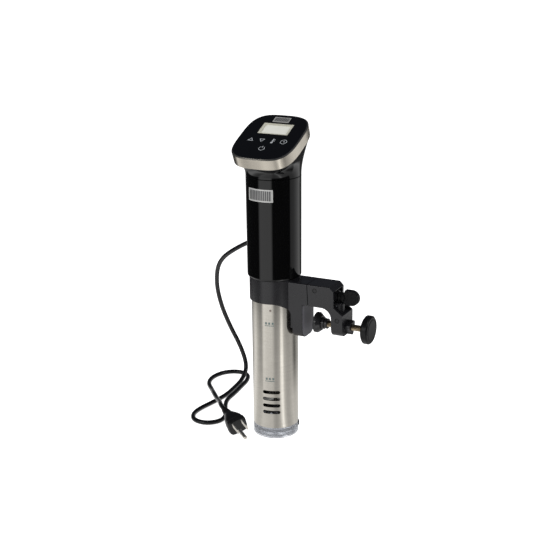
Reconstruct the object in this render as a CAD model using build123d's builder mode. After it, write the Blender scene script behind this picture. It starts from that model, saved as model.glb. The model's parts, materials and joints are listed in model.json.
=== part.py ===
"""Sous vide circulator with a pot clamp: every piece in its own part, in millimetres.

Frame: +Z up, origin at the centre of the base underside, on the axis of the steel skirt.
The controls face -Y and the pot clamp points along +X.
"""

from build123d import *
import math
import os

# ---------------------------------------------------------------- driving dimensions

GAP = 0.3                   # clearance between pieces that move past each other
SNUG = 0.06                 # radial clearance of a shaft in its bush

# Steel skirt and the clear cap under it
TUBE_R = 28.5
TUBE_WALL = 0.8
TUBE_LOW, TUBE_TOP = 14.7, 200.0
RING_R = TUBE_R - TUBE_WALL - 0.05      # rings fixed inside the tube
SLOT_HEIGHTS = (62.8, 53.9, 45.0, 36.1)
SLOT_LONG, SLOT_HIGH = 22.0, 4.4
COLUMN_DEG = 15.0                       # column of slots, turned from -Y towards +X
RIVET_HEIGHT, RIVET_R = 170.2, 1.5
LEVEL_HEIGHTS = (77.4, 150.2)           # lowest and highest water line
LEVEL_DEG, LEVEL_SPAN, LEVEL_BOLD = 12.0, 24.0, 0.8
MARK_THICK = 0.1
CAP_R, CAP_FLOOR, CAP_FILLET = 28.4, 2.4, 2.5
CAP_HOLE_R, CAP_HOLE_RING, CAP_HOLES = 4.2, 16.5, 8
TAB_DEG = 22.0                          # locking tab, turned from +X towards +Y

# Bayonet locks: three lugs turn in three grooves
LUGS = 3
LUG_SPAN, LUG_SLACK = 12.0, 3.0
LOCK_TURN = 25.0
CAP_LUG_LOW, SKIRT_LUG_LOW, LUG_HIGH = 17.3, 190.5, 3.0

# Housing
HOUSING_R_LOW, HOUSING_R_TOP, HOUSING_WALL = 33.2, 33.7, 2.4
HOUSING_LOW, HOUSING_TOP = 208.1, 333.5
HOUSING_LIP_R = 25.3
BADGE_MID_DEG, BADGE_WIDE_DEG = -93.9, 57.4
BADGE_LOW, BADGE_HIGH, BADGE_THICK = 306.9, 322.1, 0.5

# Tilted control head
PANEL_TILT = 23.6
PANEL_Y, PANEL_Z = -8.3, 380.5
GLASS_HALF_WIDE, GLASS_HALF_LONG, GLASS_THICK = 38.3, 45.3, 1.8
GLASS_SINK = 0.1
OUTLINE_POWER = 3.4                     # how square the rounded outline is, 2 being round
BEZEL_RIM, BEZEL_CHAMFER, BEZEL_DEEP = 1.6, 1.2, 14.5
SCREEN_WIDE, SCREEN_LONG, SCREEN_UP = 40.0, 23.0, 16.9
LABEL_WIDE, LABEL_LONG, LABEL_UP = 21.0, 10.0, 35.7
ICON_ROW, ICON_PITCH, POWER_ROW = -8.2, 14.3, -24.4
ICON_LINE = 0.55
NECK_START, NECK_WALL = 334.0, 2.4
NECK_SPIGOT, NECK_LEDGE = 6.0, 3.0      # ring that drops into the housing and its ledge

# Bulkhead, heater and sensors
SPIGOT_R, SPIGOT_WALL, SPIGOT_LOW, SPIGOT_FLOOR = 24.5, 2.5, 187.0, 4.0
FLANGE_R, FLANGE_LOW, FLANGE_TOP = 30.4, 210.6, 213.6
HEATER_R, HEATER_X, HEATER_Y, HEATER_LOW, HEATER_TOP = 3.2, 15.0, 8.0, 47.0, 196.0
PROBE_R, PROBE_Y, PROBE_LOW = 2.0, 17.0, 95.0
LEVEL_ROD_R, LEVEL_ROD_X, LEVEL_ROD_Y, LEVEL_ROD_LOW = 1.5, 6.0, -16.5, 77.0
SENSOR_TOP = 197.0
GROMMET_R = 2.8
SCREW_RING_R = 27.8
POST_RING_R, POST_R = 27.2, 2.5

# Motor, shaft, fan and impeller
SHAFT_R = 2.5
SEAL_R, SLEEVE_R, SLEEVE_BORE, SLEEVE_LOW, BUSH_HIGH = 5.5, 4.5, 3.6, 58.0, 12.0
MOUNT_LOW, MOUNT_THICK = 222.0, 3.0
MOTOR_R, MOTOR_HIGH, MOTOR_BOSS_R = 18.0, 50.0, 8.6
MOTOR_SCREW_RING = 13.0
FAN_LOW, FAN_HIGH, FAN_HUB_R, FAN_R, FAN_BLADES, FAN_PITCH = 281.0, 9.0, 7.0, 24.0, 7, 40.0
COUPLER_LOW, COUPLER_HIGH, COUPLER_R = 198.0, 18.0, 6.5
SHAFT_JOIN = 208.0
IMPELLER_LOW, IMPELLER_HIGH, IMPELLER_R, IMPELLER_BLADES = 24.0, 10.0, 18.0, 6
BOARD_Z, BOARD_R, BOARD_THICK = 300.0, 29.0, 1.6

# Clamp: collar, bracket and jaw are one moulding, the arm slides on a tongue
CLAMP_WIDE = 32.3
COLLAR_R, COLLAR_LOW, COLLAR_TOP = 30.9, 178.9, 207.8
COLLAR_BORE = TUBE_R + 0.4
BRACKET_TOP, ARM_UNDER = 206.4, 179.2
SEAM_TOP_X, SEAM_LOW_X, SEAM_GAP = 50.4, 51.9, 0.9
JAW_X, JAW_LOW, JAW_ROUND, TOP_ROUND = 44.6, 135.6, 11.0, 1.6
JAW_BACK_X = 31.8
PAD_SHEET = 1.2
WEB_HALF, WEB_LOW, WEB_X = 11.0, 146.0, 36.0
TONGUE_HALF, TONGUE_LOW, TONGUE_TOP = 8.0, 185.5, 203.4
TONGUE_START_X, TONGUE_END_X = 38.0, 79.2
ARM_TRAVEL = 12.0
ARM_CHAMFER_X, ARM_END_X, ARM_CHAMFER_Z, ARM_STEP_Z = 80.0, 85.5, 201.0, 181.4
LEG_IN_X, LEG_OUT_X, LEG_TOP, LEG_LOW, LEG_ROUND = 82.7, 97.4, 172.2, 144.0, 11.0
ARCH_X, ARCH_R = 69.5, 13.2
PIN_R, PIN_SINK = 2.4, 1.0
PIN_PLACES = ((61.1, 199.6), (90.6, 165.7))
BOSS_X, BOSS_R, BOSS_LOW, BOSS_TOP = 84.5, 8.6, 172.0, 184.6
POCKET_X, POCKET_HALF, POCKET_TOP = 81.5, 13.0, 200.6
GRUB_R, GRUB_LONG = 1.4, 5.0
GRUB_PLACES = ((86.6, 181.2), (86.6, 176.4))   # grub screws in the boss, X and Z

# Clamp screw, pad and knob, on an axis along X
SCREW_Z, SCREW_R = 154.5, 4.0
PAD_X, PAD_R, PAD_SKIN = 56.3, 12.7, 1.9
NUT_X, NUT_END_X, NUT_BODY_R, NUT_LOBE_R, NUT_LOBE_RING = 97.6, 104.0, 6.4, 3.6, 6.0
SCREW_START_X, SCREW_END_X = 62.6, 124.0
KNOB_X, KNOB_END_X, KNOB_R, KNOB_CAP_R = 119.6, 129.2, 17.5, 13.6

# Wing screw that draws the arm along its tongue
WING_Z, WING_R = 191.7, 3.0
WING_START_X, WING_COLLAR_X, WING_HUB_X, WING_END_X = 47.0, 86.6, 91.0, 112.8
WING_HALF_HIGH, WING_THICK, WING_BOSS_R = 9.5, 7.0, 6.9

# Power cord, its strain relief on the back of the housing, and its plug
CORD_R = 3.0
GLAND_Z, GLAND_TIP_Y = 243.0, 53.0
PLUG_FACE = Vector(-36.0, -34.7, 11.6)
PLUG_DIR = Vector(0.783, -0.606, -0.14).normalized()     # nose down on its ground pin
PLUG_ACROSS = Vector(0.618, 0.733, 0.286).normalized()   # from blade to blade
PLUG_LONG, PLUG_TAIL = 30.0, 14.0
BLADE_PITCH, BLADE_THICK, BLADE_WIDE, BLADE_LONG = 12.7, 1.5, 6.35, 15.9
BLADE_UP, PIN_DOWN, GROUND_R, GROUND_LONG = 5.0, 6.9, 2.4, 19.0

# The cord's route: out of its strain relief, down behind the object and along the surface
# in a loose double loop, over itself and into the plug
CORD_ROUTE = [
    (0, 53, 243), (-2, 76, 241), (-26, 93, 237), (-62, 94, 226),
    (-103, 93, 205), (-136, 104, 180), (-146, 113, 146), (-144, 121, 112),
    (-135, 129, 79), (-121, 136, 46), (-112, 136, 18), (-112, 119, 4),
    (-110, 92, 3), (-108, 66, 3), (-112, 39, 3), (-118, 13, 3),
    (-118, -8, 3), (-107, -25, 3), (-87, -27, 3), (-73, -12, 3),
    (-77, 9, 3), (-90, 29, 3), (-100, 52, 3), (-101, 78, 3),
    (-104, 102, 3), (-106, 123, 3), (-114, 143, 3), (-132, 149, 3),
    (-150, 138, 3), (-157, 115, 3), (-151, 92, 3), (-133, 71, 4.5),
    (-119, 51, 9.8), (-104, 33, 11), (-90, 16, 15.5), (-79.8, -0.8, 19.4),
    (-70.45, -8.04, 17.76),
]

# ---------------------------------------------------------------- helpers

X_AXIS = Vector(1, 0, 0)
PANEL_TILT_RAD = math.radians(PANEL_TILT)
PANEL_NORMAL = (0, -math.sin(PANEL_TILT_RAD), math.cos(PANEL_TILT_RAD))
PANEL = Plane(origin=(0, PANEL_Y, PANEL_Z), x_dir=X_AXIS, z_dir=PANEL_NORMAL)


def facing(degrees):
    """Upright plane through the axis that faces out at an angle from -Y towards +X."""
    turn = math.radians(degrees)
    across = (math.cos(turn), math.sin(turn), 0)
    return Plane(origin=(0, 0, 0), x_dir=across, z_dir=(math.sin(turn), -math.cos(turn), 0))


def tube(low, high, outer_r, inner_r=0.0, centre=(0, 0), mode=Mode.ADD):
    """Adds an upright tube to the part in progress, or a rod when it has no inner radius."""
    with BuildSketch(Plane.XY.offset(low)) as ring:
        with Locations(centre):
            Circle(outer_r)
            if inner_r:
                Circle(inner_r, mode=Mode.SUBTRACT)
    extrude(ring.sketch, amount=high - low, mode=mode)


def rod_along_x(start, end, radius, height, y=0.0, mode=Mode.ADD):
    """Adds a rod along X, centred at a height, to the part in progress."""
    with BuildSketch(Plane.YZ.offset(start)) as disc:
        with Locations((y, height)):
            Circle(radius)
    extrude(disc.sketch, amount=end - start, mode=mode)


def block(x_low, x_high, y_low, y_high, z_low, z_high, mode=Mode.ADD):
    """Adds a plain block, given by its limits, to the part in progress."""
    middle = ((x_low + x_high) / 2, (y_low + y_high) / 2, (z_low + z_high) / 2)
    with Locations(middle):
        Box(x_high - x_low, y_high - y_low, z_high - z_low, mode=mode)


def sectors(inner_r, outer_r, low, high, centre, width, count=LUGS, mode=Mode.ADD):
    """Adds evenly spaced pieces of an upright ring to the part in progress."""
    reach = 2 * outer_r
    half = math.radians(width / 2)
    far = (reach * math.cos(half), reach * math.sin(half))
    with BuildSketch(Plane.XY.offset(low)) as pieces:
        with PolarLocations(0, count, start_angle=centre):
            Polygon((0, 0), (far[0], -far[1]), far, align=None)
        Circle(outer_r, mode=Mode.INTERSECT)
        Circle(inner_r, mode=Mode.SUBTRACT)
    extrude(pieces.sketch, amount=high - low, mode=mode)


def squircle(plane, half_wide, half_long, power=OUTLINE_POWER, points=32):
    """Face with a rounded-square outline on a plane."""
    def point(step):
        angle = 2 * math.pi * step / points
        cos, sin = math.cos(angle), math.sin(angle)
        across = half_wide * math.copysign(abs(cos) ** (2 / power), cos)
        along = half_long * math.copysign(abs(sin) ** (2 / power), sin)
        return (across, along)

    with BuildSketch(plane) as face:
        with BuildLine():
            Spline([point(step) for step in range(points)], periodic=True)
        make_face()
    return face.sketch


def panel_face(depth, half_wide, half_long):
    """Rounded-square face below the control panel's surface, by a depth."""
    return squircle(PANEL.offset(-depth), half_wide, half_long)


def turned(points, axis, plane=Plane.XZ):
    """Adds a turned piece to the part in progress: a closed profile round an axis."""
    with BuildSketch(plane) as profile:
        Polygon(*points, align=None)
    revolve(profile.sketch, axis=axis)


def bend_radii(route):
    """Largest arc at each corner of a route that leaves a tenth of every run straight."""
    radii = []
    for before, corner, after in zip(route, route[1:], route[2:]):
        run_in = Vector(*corner) - Vector(*before)
        run_out = Vector(*after) - Vector(*corner)
        half_turn = math.radians(run_in.get_angle(run_out)) / 2
        radii.append(0.45 * min(run_in.length, run_out.length) / math.tan(half_turn))
    return radii


def bayonet_ring(low, high, bore, lug_low, entry_low, entry_high):
    """Adds a ring inside a tube end, with grooves that three lugs enter and then turn in."""
    groove_r = bore + 1.7
    opening = LUG_SPAN + LUG_SLACK
    tube(low, high, RING_R, bore)
    sectors(bore - 1, groove_r, lug_low - GAP, lug_low + LUG_HIGH + GAP,
            90 - LOCK_TURN / 2, opening + LOCK_TURN, mode=Mode.SUBTRACT)
    sectors(bore - 1, groove_r, entry_low, entry_high, 90 - LOCK_TURN, opening, mode=Mode.SUBTRACT)


# ---------------------------------------------------------------- steel skirt

with BuildPart() as skirt_tube:
    tube(TUBE_LOW, TUBE_TOP, TUBE_R, TUBE_R - TUBE_WALL)
    with BuildSketch(facing(COLUMN_DEG)):
        for height in SLOT_HEIGHTS:
            with Locations((0, height)):
                SlotOverall(SLOT_LONG, SLOT_HIGH)
        with Locations((0, RIVET_HEIGHT)):
            Circle(RIVET_R)
    extrude(amount=2 * TUBE_R, mode=Mode.SUBTRACT)

with BuildPart() as skirt_rivet:
    with BuildSketch(facing(COLUMN_DEG).offset(TUBE_R - TUBE_WALL - 0.8)):
        with Locations((0, RIVET_HEIGHT)):
            Circle(RIVET_R - 0.15)
    extrude(amount=TUBE_WALL + 1.0)

with BuildPart() as skirt_ring:
    skirt_ring_top = TUBE_TOP - GAP
    bayonet_ring(186.0, skirt_ring_top, SPIGOT_R + GAP, SKIRT_LUG_LOW, SKIRT_LUG_LOW, skirt_ring_top)

with BuildPart() as foot_ring:
    foot_ring_low = TUBE_LOW + GAP
    foot_bore = 25.2
    bayonet_ring(foot_ring_low, 22.0, foot_bore, CAP_LUG_LOW, foot_ring_low, CAP_LUG_LOW + LUG_HIGH)

with BuildPart() as level_marks:
    level_arc = LEVEL_DEG - 90
    for level in LEVEL_HEIGHTS:
        sectors(TUBE_R, TUBE_R + MARK_THICK, level, level + LEVEL_BOLD, level_arc, LEVEL_SPAN, 1)
        for step in (-1, 0, 1):
            sectors(TUBE_R, TUBE_R + MARK_THICK, level + 2.0, level + 4.8,
                    level_arc + 8.4 * step, 4.8, 1)

# ---------------------------------------------------------------- clear base cap

with BuildPart() as base_cap:
    cap_top = TUBE_LOW - GAP
    cap_spigot = foot_bore - GAP
    with BuildSketch(Plane.XZ) as cap_profile:
        Polygon(
            (0, 0), (CAP_R, 0), (CAP_R, cap_top), (cap_spigot, cap_top),
            (cap_spigot, 20.5), (22.9, 20.5), (22.9, 11.0), (25.8, 8.0),
            (25.8, CAP_FLOOR), (0, CAP_FLOOR), align=None,
        )
        fillet(cap_profile.vertices().sort_by_distance((CAP_R, 0))[0], CAP_FILLET)
    revolve(axis=Axis.Z)
    with BuildSketch(Plane.XY):
        with PolarLocations(CAP_HOLE_RING, CAP_HOLES):
            Circle(CAP_HOLE_R)
    extrude(amount=CAP_FLOOR, mode=Mode.SUBTRACT)
    sectors(24.0, foot_bore + 1.2, CAP_LUG_LOW, CAP_LUG_LOW + LUG_HIGH - GAP, 90, LUG_SPAN)

with BuildPart() as cap_tab:
    with BuildSketch(facing(90 + TAB_DEG).offset(CAP_R)):
        with Locations((0, 11.2)):
            RectangleRounded(4.6, 6.2, 1.2)
    extrude(amount=1.0)

# ---------------------------------------------------------------- bulkhead and what hangs from it

sensor_places = ((0, PROBE_Y), (-LEVEL_ROD_X, LEVEL_ROD_Y), (LEVEL_ROD_X, LEVEL_ROD_Y))
heater_places = [(x, y) for x in (-HEATER_X, HEATER_X) for y in (-HEATER_Y, HEATER_Y)]
floor_top = SPIGOT_LOW + SPIGOT_FLOOR

with BuildPart() as lower_bulkhead:
    tube(SPIGOT_LOW, floor_top, SPIGOT_R)
    tube(SPIGOT_LOW, FLANGE_TOP, SPIGOT_R, SPIGOT_R - SPIGOT_WALL)
    tube(FLANGE_LOW, FLANGE_TOP, FLANGE_R, SPIGOT_R - SPIGOT_WALL)
    sectors(SPIGOT_R - 0.5, SPIGOT_R + 1.7, SKIRT_LUG_LOW, SKIRT_LUG_LOW + LUG_HIGH, 90, LUG_SPAN)
    with BuildSketch(Plane.XY.offset(FLANGE_TOP)):
        with PolarLocations(POST_RING_R, 4, start_angle=45):
            Circle(POST_R)
    extrude(amount=MOUNT_LOW - FLANGE_TOP)
    with BuildSketch(Plane.XY.offset(SPIGOT_LOW)):
        Circle(SLEEVE_BORE)
        with Locations(*heater_places):
            Circle(HEATER_R)
        with Locations(*sensor_places):
            Circle(GROMMET_R)
    extrude(amount=SPIGOT_FLOOR, mode=Mode.SUBTRACT)
    tube(SPIGOT_LOW + 1.0, floor_top, SEAL_R, mode=Mode.SUBTRACT)
    with BuildSketch(Plane.XY.offset(FLANGE_LOW)):
        with PolarLocations(SCREW_RING_R, 3):
            Circle(1.6)
    extrude(amount=FLANGE_TOP - FLANGE_LOW, mode=Mode.SUBTRACT)

with BuildPart() as shaft_seal:
    tube(SPIGOT_LOW + 1.0, floor_top, SEAL_R, SHAFT_R + SNUG)

with BuildPart() as shaft_sleeve:
    tube(SLEEVE_LOW, SPIGOT_LOW, SLEEVE_R, SLEEVE_BORE)

with BuildPart() as shaft_bush:
    tube(SLEEVE_LOW, SLEEVE_LOW + BUSH_HIGH, SLEEVE_BORE - 0.02, SHAFT_R + SNUG)

with BuildPart() as heater_tubes:
    for side in (-HEATER_X, HEATER_X):
        with BuildLine() as hairpin:
            FilletPolyline(
                (side, -HEATER_Y, HEATER_TOP), (side, -HEATER_Y, HEATER_LOW),
                (side, HEATER_Y, HEATER_LOW), (side, HEATER_Y, HEATER_TOP),
                radius=HEATER_Y - 0.1,
            )
        with BuildSketch(Plane(origin=hairpin.line @ 0, z_dir=hairpin.line % 0)):
            Circle(HEATER_R)
        sweep(path=hairpin.line)

with BuildPart() as heater_terminals:
    with Locations(*[(x, y, HEATER_TOP) for x, y in heater_places]):
        Cylinder(2.2, 4.0, align=(Align.CENTER, Align.CENTER, Align.MIN))
        with Locations((0, 0, 4.0)):
            Box(0.8, 4.8, 8.0, align=(Align.CENTER, Align.CENTER, Align.MIN))

with BuildPart() as temperature_probe:
    tube(PROBE_LOW, SENSOR_TOP, PROBE_R, centre=(0, PROBE_Y))
    fillet(temperature_probe.edges().group_by(Axis.Z)[0], PROBE_R - 0.2)

with BuildPart() as level_rods:
    for place in sensor_places[1:]:
        tube(LEVEL_ROD_LOW, SENSOR_TOP, LEVEL_ROD_R, centre=place)
    fillet(level_rods.edges().group_by(Axis.Z)[0], LEVEL_ROD_R - 0.3)

with BuildPart() as probe_seals:
    for place, bore in zip(sensor_places, (PROBE_R, LEVEL_ROD_R, LEVEL_ROD_R)):
        tube(SPIGOT_LOW - 1.0, floor_top + 1.5, GROMMET_R, bore, centre=place)
        tube(floor_top, floor_top + 1.5, GROMMET_R + 1.2, bore, centre=place)

# ---------------------------------------------------------------- shaft, impeller and fan

with BuildPart() as impeller_shaft:
    tube(IMPELLER_LOW + 1.0, SHAFT_JOIN - 0.2, SHAFT_R)
    chamfer(impeller_shaft.edges().group_by(Axis.Z)[0], 0.5)

with BuildPart() as impeller:
    hub_r, plate_thick = 6.0, 1.4
    plate_low = IMPELLER_LOW + IMPELLER_HIGH - plate_thick
    tube(IMPELLER_LOW, IMPELLER_LOW + IMPELLER_HIGH + 2.5, hub_r, SHAFT_R)
    tube(plate_low, plate_low + plate_thick, IMPELLER_R, SHAFT_R)
    with BuildSketch(Plane.XY.offset(IMPELLER_LOW)):
        with PolarLocations((hub_r + IMPELLER_R) / 2 - 0.5, IMPELLER_BLADES):
            Rectangle(IMPELLER_R - hub_r, 1.6, rotation=28)
    extrude(amount=IMPELLER_HIGH - plate_thick)

with BuildPart() as motor_shaft:
    tube(SHAFT_JOIN + 0.2, FAN_LOW + FAN_HIGH + 2.0, SHAFT_R)

with BuildPart() as shaft_coupler:
    tube(COUPLER_LOW, COUPLER_LOW + COUPLER_HIGH, COUPLER_R, SHAFT_R)
    chamfer(shaft_coupler.edges().filter_by(GeomType.CIRCLE), 0.4)
    for height in (COUPLER_LOW + 4.5, COUPLER_LOW + COUPLER_HIGH - 4.5):
        with BuildSketch(Plane.XZ):
            with Locations((0, height)):
                Circle(1.5)
        extrude(amount=COUPLER_R + 1, mode=Mode.SUBTRACT)

with BuildPart() as cooling_fan:
    tube(FAN_LOW, FAN_LOW + FAN_HIGH, FAN_HUB_R, SHAFT_R)
    blade_long = FAN_R - FAN_HUB_R + 0.6
    with Locations((0, 0, FAN_LOW + FAN_HIGH / 2)):
        with PolarLocations(FAN_R - blade_long / 2, FAN_BLADES):
            Box(blade_long, 1.2, FAN_HIGH, rotation=(FAN_PITCH, 0, 0))

# ---------------------------------------------------------------- motor and its mount

mount_top = MOUNT_LOW + MOUNT_THICK
motor_top = mount_top + MOTOR_HIGH

with BuildPart() as motor_mount:
    tube(MOUNT_LOW, mount_top, FLANGE_R, MOTOR_BOSS_R + 0.2)
    with BuildSketch(Plane.XY.offset(MOUNT_LOW)):
        with PolarLocations(MOTOR_SCREW_RING, 4, start_angle=45):
            Circle(1.5)
        with PolarLocations(23.0, 4):
            Circle(4.5)
    extrude(amount=MOUNT_THICK, mode=Mode.SUBTRACT)

with BuildPart() as motor_can:
    tube(mount_top, motor_top, MOTOR_R)
    fillet(motor_can.edges().filter_by(GeomType.CIRCLE), 1.5)
    tube(MOUNT_LOW + 0.4, mount_top, MOTOR_BOSS_R)
    tube(motor_top, motor_top + 3.0, MOTOR_BOSS_R)
    with BuildSketch(Plane.XY.offset(mount_top)):
        with PolarLocations(MOTOR_SCREW_RING, 4, start_angle=45):
            Circle(1.4)
    extrude(amount=7.0, mode=Mode.SUBTRACT)
    tube(MOUNT_LOW, motor_top + 3.0, SHAFT_R + SNUG, mode=Mode.SUBTRACT)

with BuildPart() as motor_screws:
    with PolarLocations(MOTOR_SCREW_RING, 4, start_angle=45):
        with Locations((0, 0, MOUNT_LOW - 1.8)):
            Cylinder(2.7, 1.8, align=(Align.CENTER, Align.CENTER, Align.MIN))
        with Locations((0, 0, MOUNT_LOW)):
            Cylinder(1.3, 9.0, align=(Align.CENTER, Align.CENTER, Align.MIN))

# ---------------------------------------------------------------- housing and its electronics

inner_low_r = HOUSING_R_LOW - HOUSING_WALL
inner_top_r = HOUSING_R_TOP - HOUSING_WALL

with BuildPart() as housing_shell:
    with BuildSketch(Plane.XZ) as wall:
        Polygon(
            (HOUSING_LIP_R, HOUSING_LOW), (HOUSING_R_LOW, HOUSING_LOW),
            (HOUSING_R_TOP, HOUSING_TOP), (inner_top_r, HOUSING_TOP),
            (inner_low_r, HOUSING_LOW + HOUSING_WALL),
            (HOUSING_LIP_R, HOUSING_LOW + HOUSING_WALL), align=None,
        )
        fillet(wall.vertices().sort_by_distance((HOUSING_R_LOW, HOUSING_LOW))[0], 2.8)
        chamfer(wall.vertices().sort_by_distance((HOUSING_R_TOP, HOUSING_TOP))[0], 0.5)
    revolve(axis=Axis.Z)
    sectors(BOARD_R - 1.0, inner_low_r + 1.0, BOARD_Z - 6.0, BOARD_Z, 30, 9.0)
    with BuildSketch(Plane.XY.offset(HOUSING_LOW)):
        with PolarLocations(SCREW_RING_R, 3):
            Circle(1.6)
    extrude(amount=HOUSING_WALL, mode=Mode.SUBTRACT)
    with BuildSketch(Plane.XZ.offset(-HOUSING_R_TOP - 1)):
        with Locations((0, GLAND_Z)):
            Circle(5.4)
    extrude(amount=8.0, mode=Mode.SUBTRACT)

with BuildPart() as housing_badge:
    badge_r = HOUSING_R_TOP - 0.03
    sectors(badge_r, badge_r + BADGE_THICK, BADGE_LOW, BADGE_HIGH, BADGE_MID_DEG, BADGE_WIDE_DEG, 1)

with BuildPart() as power_board:
    with BuildSketch(Plane.XY.offset(BOARD_Z)):
        Circle(BOARD_R)
        with Locations((0, BOARD_R)):
            Rectangle(26, 14, mode=Mode.SUBTRACT)
        with PolarLocations(BOARD_R - 3.0, 3, start_angle=30):
            Circle(1.5, mode=Mode.SUBTRACT)
    extrude(amount=BOARD_THICK)

with BuildPart() as board_parts:
    parts_low = BOARD_Z + BOARD_THICK
    block(-19, 1, -16, 2, parts_low, parts_low + 16)
    block(4, 18, 3, 15, parts_low, parts_low + 11)
    block(-14, -2, 7, 14, parts_low, parts_low + 9)
    for place in ((8.0, -8.0), (18.5, -8.0)):
        tube(parts_low, parts_low + 15, 4.8, centre=place)

with BuildPart() as collar_screws:
    with PolarLocations(SCREW_RING_R, 3):
        with Locations((0, 0, FLANGE_TOP)):
            Cylinder(3.0, 2.0, align=(Align.CENTER, Align.CENTER, Align.MIN))
        with Locations((0, 0, FLANGE_TOP - 8.0)):
            Cylinder(1.5, 8.0, align=(Align.CENTER, Align.CENTER, Align.MIN))

with BuildPart() as cord_gland:
    back = HOUSING_R_LOW + 0.1
    turned(
        (
            (0, inner_low_r - 3.0), (7.0, inner_low_r - 3.0), (7.0, inner_low_r - 0.8),
            (5.2, inner_low_r - 0.8), (5.2, back + 0.4), (7.2, back + 0.4), (7.2, back + 2.0),
            (6.0, back + 3.0), (CORD_R + 0.9, GLAND_TIP_Y), (0, GLAND_TIP_Y),
        ),
        Axis.Y, Plane.XY,
    )
    gland_at_back = cord_gland.part.moved(Location((0, 0, GLAND_Z)))
cord_gland.part = gland_at_back

# ---------------------------------------------------------------- control head

bezel_half_wide = GLASS_HALF_WIDE + BEZEL_RIM
bezel_half_long = GLASS_HALF_LONG + BEZEL_RIM + 0.1
bezel_low_wide, bezel_low_long = bezel_half_wide - 0.2, bezel_half_long - 0.2
board_half_wide, board_half_long = GLASS_HALF_WIDE - 3.2, GLASS_HALF_LONG - 3.2
glass_under = GLASS_SINK + GLASS_THICK

bezel_top = panel_face(0, bezel_half_wide - 1.2, bezel_half_long - 1.2)
bezel_rim = panel_face(BEZEL_CHAMFER, bezel_half_wide, bezel_half_long)
bezel_low = panel_face(BEZEL_DEEP, bezel_low_wide, bezel_low_long)
bezel_pocket = panel_face(glass_under, GLASS_HALF_WIDE + 0.1, GLASS_HALF_LONG + 0.1)
bezel_inside = panel_face(BEZEL_DEEP, GLASS_HALF_WIDE - 2.4, GLASS_HALF_LONG - 2.4)
post_places = [(x * 27.4, y * 32.8) for x in (-1, 1) for y in (-1, 1)]
post_top_depth, post_low_depth = 2.4, 8.0

with BuildPart() as bezel:
    loft([bezel_low, bezel_rim])
    loft([bezel_rim, bezel_top])
    extrude(bezel_pocket, amount=glass_under + 1, mode=Mode.SUBTRACT)
    extrude(bezel_inside, amount=BEZEL_DEEP, mode=Mode.SUBTRACT)
    with BuildSketch(PANEL.offset(-post_low_depth)):
        with Locations(*post_places):
            Circle(3.6)
    extrude(amount=post_low_depth - post_top_depth)
    with BuildSketch(PANEL.offset(-post_low_depth)):
        with Locations(*post_places):
            Circle(1.35)
    extrude(amount=post_low_depth - post_top_depth - 1.0, mode=Mode.SUBTRACT)

glass_face = panel_face(glass_under, GLASS_HALF_WIDE, GLASS_HALF_LONG)
with BuildPart() as panel_glass:
    extrude(glass_face, amount=GLASS_THICK)
    with BuildSketch(PANEL):
        with Locations((0, SCREEN_UP)):
            Rectangle(SCREEN_WIDE, SCREEN_LONG)
    extrude(amount=-GLASS_THICK - 1, mode=Mode.SUBTRACT)

with BuildPart() as lcd_frame:
    with BuildSketch(PANEL.offset(-glass_under)):
        with Locations((0, SCREEN_UP)):
            Rectangle(SCREEN_WIDE - 0.1, SCREEN_LONG - 0.1)
            Rectangle(SCREEN_WIDE - 6.4, SCREEN_LONG - 5.0, mode=Mode.SUBTRACT)
    extrude(amount=GLASS_THICK - 0.6)

with BuildPart() as lcd_screen:
    with BuildSketch(PANEL.offset(-glass_under - 2.2)):
        with Locations((0, SCREEN_UP)):
            Rectangle(SCREEN_WIDE - 0.1, SCREEN_LONG - 0.1)
    extrude(amount=2.2)

touch_face = panel_face(glass_under + 0.45, board_half_wide, board_half_long)
with BuildPart() as touch_sensor:
    extrude(touch_face, amount=0.4)
    with BuildSketch(PANEL):
        with Locations((0, SCREEN_UP)):
            Rectangle(SCREEN_WIDE + 0.4, SCREEN_LONG + 0.4)
    extrude(amount=-glass_under - 1, mode=Mode.SUBTRACT)

board_depth = post_low_depth + BOARD_THICK
board_face = panel_face(board_depth, board_half_wide, board_half_long)
with BuildPart() as control_board:
    extrude(board_face, amount=BOARD_THICK)
    with BuildSketch(PANEL.offset(-board_depth)):
        with Locations(*post_places):
            Circle(1.6)
    extrude(amount=BOARD_THICK, mode=Mode.SUBTRACT)

with BuildPart() as head_screws:
    with BuildSketch(PANEL.offset(-board_depth)):
        with Locations(*post_places):
            Circle(2.6)
    extrude(amount=-1.6)
    with BuildSketch(PANEL.offset(-board_depth)):
        with Locations(*post_places):
            Circle(1.25)
    extrude(amount=5.5)

with BuildPart() as panel_badge:
    with BuildSketch(PANEL.offset(-GLASS_SINK)):
        with Locations((0, LABEL_UP)):
            RectangleRounded(LABEL_WIDE, LABEL_LONG, 0.6)
    extrude(amount=0.3)

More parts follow.
